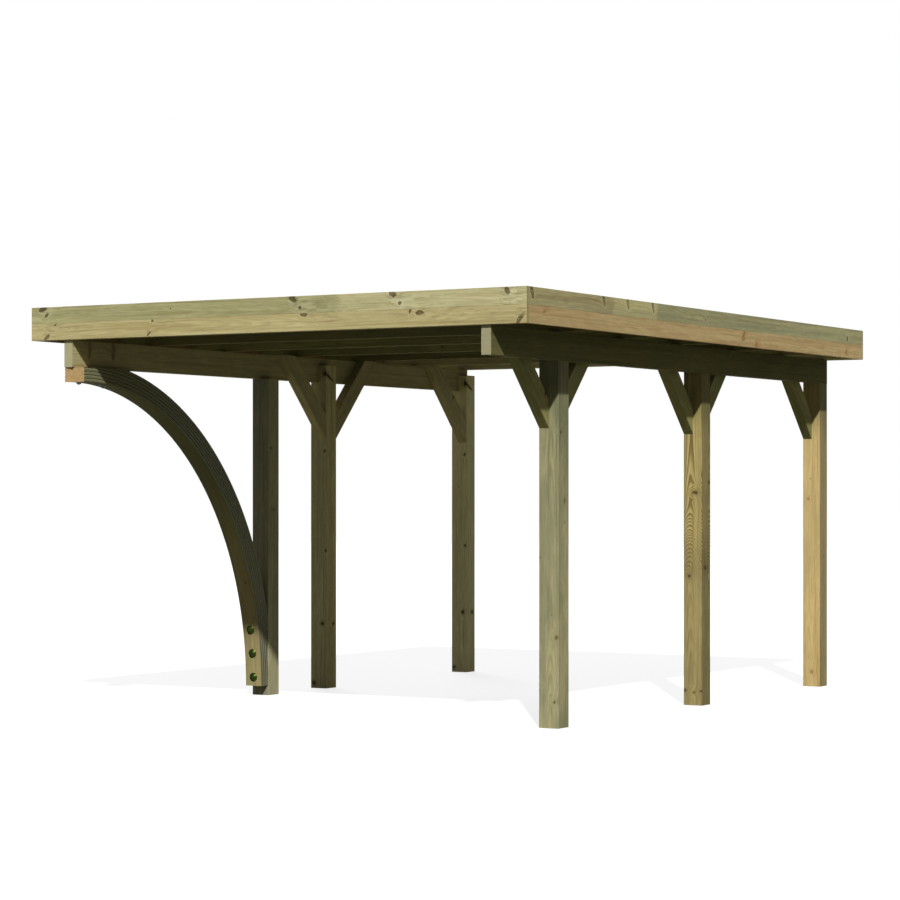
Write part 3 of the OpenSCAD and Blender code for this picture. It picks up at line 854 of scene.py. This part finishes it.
# One form on every seat, each turned by chance about its own axis
def fasten(name, seats, *nodes):
    look = fastenerLook[name]
    inputs = dict(look["sizes"], finish=metal(**look["finish"]))
    tree, board, wire, entry = geometryTree(name.replace("_", " "), inputs)
    facing = board.add("GeometryNodeInputNamedAttribute", {"data_type": "FLOAT_VECTOR"}, ("facing",))
    upright = board.add("FunctionNodeAlignRotationToVector", {"axis": "Z"}, {"Vector": facing})
    form = look["form"](board, wire)
    placed = board.add("GeometryNodeInstanceOnPoints", None,
                       {"Points": entry.out("Geometry"), "Instance": form, "Rotation": upright})
    spin = board.add("FunctionNodeRandomValue", {"data_type": "FLOAT_VECTOR"},
                     {"Min": (0, 0, 0), "Max": (0, 0, math.pi), "Seed": 5})
    turned = board.add("GeometryNodeRotateInstances", None,
                       {"Instances": placed, "Rotation": spin, "Local Space": True})
    whole = board.add("GeometryNodeRealizeInstances", None, (turned,))
    board.add("NodeGroupOutput", None, (
        board.add("GeometryNodeSetMaterial", None, {"Geometry": whole, "Material": wire["finish"]}),))

    points = bpy.data.meshes.new(name + "_seats")
    points.from_pydata([tuple(place) for place, _ in seats], [], [])
    layer = points.attributes.new("facing", "FLOAT_VECTOR", "POINT")
    for item, (_, normal) in zip(layer.data, seats):
        item.vector = normal
    keep(grow(tree, points, inputs, name, 35), look["slot"], *nodes)
    print(name, len(seats))


# The seats of a node's bodies: the largest flat face of each one lies on the timber
def seatsOf(node, count):
    shape = wholeFaces(node, weld=1e-6, flat=0.5)
    flats = sorted(shape.faces, key=lambda face: -face.calc_area())[:count]
    seats = [(face.calc_center_bounds(), -face.normal) for face in flats]
    shape.free()
    return seats


seatLook = {
    "boardSpread": 0.026,       # half the distance of a board's two screws
    "boardLines": 5, "boardInset": 0.03,        # rows along the front and the rear
    "braceScrews": ((0.050, 0.040), (0.085, 0.105)),        # back from a brace's head, and down
    "sheets": 4, "ribs": 6, "ribFoot": 0.062,
    "sheetEdge": 0.012,         # screws stay this far from a sheet's front edge
    "everyPan": 2.0,            # beyond this distance from the middle, no pan is left out
}


def middle(node):
    low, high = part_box(node)
    return (low + high) / 2


# Two screws in each board wherever there is a timber behind it
def boardSeats():
    seats = []
    lines, inset, spread = (seatLook[name] for name in ("boardLines", "boardInset", "boardSpread"))
    blockLow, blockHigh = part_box("rear_spacer_blocks")
    pitch = (blockHigh.x - blockLow.x - 2 * inset) / (lines - 1)
    for node in nodesLike(end="_fascia"):
        low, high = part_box(node)
        heights = [(low.z + high.z) / 2 + step for step in (-spread, spread)]
        if node.startswith(("front", "rear")):
            face, normal = (low.y, -axisY) if node.startswith("front") else (high.y, axisY)
            places = [(blockLow.x + inset + pitch * n, face) for n in range(lines)]
        else:
            face, normal = (low.x, -axisX) if node.startswith("left") else (high.x, axisX)
            places = [(face, middle(rafter).y) for rafter in nodesLike("rafter_")]
        seats += [(Vector((x, y, height)), normal) for x, y in places for height in heights]
    return seats


# Two screws through each brace into its beam, from the inner side
def braceSeats():
    seats = []
    for node in nodesLike(end="_brace"):
        low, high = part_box(node)
        inner, normal = (low.x, -axisX) if node.startswith("right") else (high.x, axisX)
        lean = braceLean(node)
        head = high.y if lean > 0 else low.y
        for back, drop in seatLook["braceScrews"]:
            seats.append((Vector((inner, head - lean * back, high.z - drop)), normal))
    return seats


# Roof screws stand in the flat pans of the sheets, over every rafter, in every other pan
def roofSeats():
    seats = []
    sheets = ["roof_sheet_" + str(n + 1) for n in range(seatLook["sheets"])]
    first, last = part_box(sheets[0])[0].x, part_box(sheets[-1])[1].x
    cover = (last - first - seatLook["ribFoot"]) / seatLook["sheets"]
    pitch = cover / seatLook["ribs"]
    for count, sheet in enumerate(sheets):
        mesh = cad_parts[sheet].data
        tree = BVHTree.FromPolygons([v.co for v in mesh.vertices], [p.vertices for p in mesh.polygons])
        low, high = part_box(sheet)
        for pan in range(seatLook["ribs"]):
            x = first + count * cover + pan * pitch + (pitch + seatLook["ribFoot"]) / 2
            for rafter in nodesLike("rafter_"):
                y = max(middle(rafter).y, low.y + seatLook["sheetEdge"])
                place, normal, _, _ = tree.ray_cast(Vector((x, y, high.z + 0.1)), -axisZ)
                if place and ((pan + count) % 2 == 0 or abs(y) > seatLook["everyPan"]):
                    seats.append((place, normal))
    return seats


fasten("foot_caps", seatsOf("arch_foot_bolts", 3), "arch_foot_bolts")
fasten("head_nuts", seatsOf("arch_top_bolts", 2), "arch_top_bolts")
fasten("board_screws", boardSeats() + braceSeats())
fasten("roof_screws", roofSeats())

# Roof sheets keep the construction's own mesh
sheetLook = {
    "paint": paint(64, 66, 65), "dust": paint(118, 112, 92), "dustShare": 0.30,
    "roughness": 0.56, "gloss": 0.03, "orangePeel": 900.0, "relief": 0.00012,
}


def sheetPaint():
    look = sheetLook
    material, board = freshMaterial("anthracite_sheet_paint")
    place = board.add("ShaderNodeTexCoord", None, (), "Object")
    runs = board.noise(board.vector("MULTIPLY", place, (34.0, 1.1, 3.0)), 1.0, 3.0)
    spots = board.noise(place, 26.0, 4.0, 0.6)
    peel = board.noise(place, look["orangePeel"], 1.0)
    share = runs.ramp(0.45, 0.75) * spots.ramp(0.35, 0.7) * look["dustShare"]
    colour = board.mix(look["paint"], look["dust"], share)
    bump = board.add("ShaderNodeBump", None, {"Strength": 0.5, "Distance": look["relief"], "Height": peel})
    surface(board, Base_Color=colour, Roughness=share * 0.5 + look["roughness"], Normal=bump,
            Specular_IOR_Level=look["gloss"])
    return material


sheetFinish = sheetPaint()
for node in nodesLike("roof_sheet_"):
    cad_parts[node].data.materials.clear()
    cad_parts[node].data.materials.append(sheetFinish)
print("roof sheets painted")

# Floor, light and camera
stageLook = {
    "floorHalf": 40.0,
    "bounce": paint(106, 106, 92),        # what the floor throws back at the timber
    "floorPaper": paint(136, 136, 136),
    "floorGlow": 0.80,
    "sun": 4.15, "sunAngle": 1.2, "sunFrom": (0.42, -0.65, 0.635),
    "backSun": 2.0, "backSunAngle": 25.0, "backSunFrom": (-0.55, 0.62, 0.56),
    "sky": paint(126, 126, 127),
}
cameraLook = {
    "lens": 106.7, "sensor": 36, "shiftY": 0.0438, "clipEnd": 200,
    "place": (8.301, -14.187, 1.294), "aim": (-0.5132, 0.8583, 0),
}


# 1 for the camera and for what a shiny or clear surface shows, 0 for the light on the timber
def seenByEye(board):
    path = board.add("ShaderNodeLightPath")
    return (path + path.out("Is Glossy Ray") + path.out("Is Transmission Ray")).math("MINIMUM", 1.0)


def buildFloor():
    look = stageLook
    half = look["floorHalf"]
    corners = [(-half, -half, 0), (half, -half, 0), (half, half, 0), (-half, half, 0)]
    mesh = bpy.data.meshes.new("studio_floor")
    mesh.from_pydata(corners, [], [(0, 1, 2, 3)])
    material, board = freshMaterial("floor_paper")
    seen = board.add("ShaderNodeAddShader", None,
                     (board.add("ShaderNodeBsdfDiffuse", None, {"Color": look["floorPaper"]}),
                      board.add("ShaderNodeEmission", None, {"Strength": look["floorGlow"]})))
    unseen = board.add("ShaderNodeBsdfDiffuse", None, {"Color": look["bounce"]})
    both = board.add("ShaderNodeMixShader", None, (seenByEye(board), unseen, seen))
    board.add("ShaderNodeOutputMaterial", None, {"Surface": both})
    mesh.materials.append(material)
    addPiece("studio_floor", mesh)


def buildLight():
    look = stageLook
    world = bpy.data.worlds.new("studio_sky")
    world.use_nodes = True
    world.node_tree.nodes.clear()
    board = Board(world.node_tree)
    colour = board.mix(look["sky"], (1, 1, 1, 1), seenByEye(board))
    sky = board.add("ShaderNodeBackground", None, {"Color": colour, "Strength": 1.0})
    board.add("ShaderNodeOutputWorld", None, {"Surface": sky})
    bpy.context.scene.world = world
    for name in ("sun", "backSun"):
        lamp = bpy.data.lights.new(name, "SUN")
        lamp.energy = look[name]
        lamp.angle = math.radians(look[name + "Angle"])
        turn = Vector(look[name + "From"]).to_track_quat("Z", "Y").to_euler()
        addPiece(name, lamp).rotation_euler = turn


def buildCamera():
    look = cameraLook
    camera = bpy.data.cameras.new("camera")
    camera.lens = look["lens"]
    camera.sensor_width = look["sensor"]
    camera.shift_y = look["shiftY"]
    camera.clip_end = look["clipEnd"]
    eye = addPiece("camera", camera)
    eye.location = look["place"]
    eye.rotation_euler = Vector(look["aim"]).to_track_quat("-Z", "Y").to_euler()
    bpy.context.scene.camera = eye
    bpy.context.scene.view_settings.view_transform = "Standard"


buildFloor()
buildLight()
buildCamera()
print("stage set")
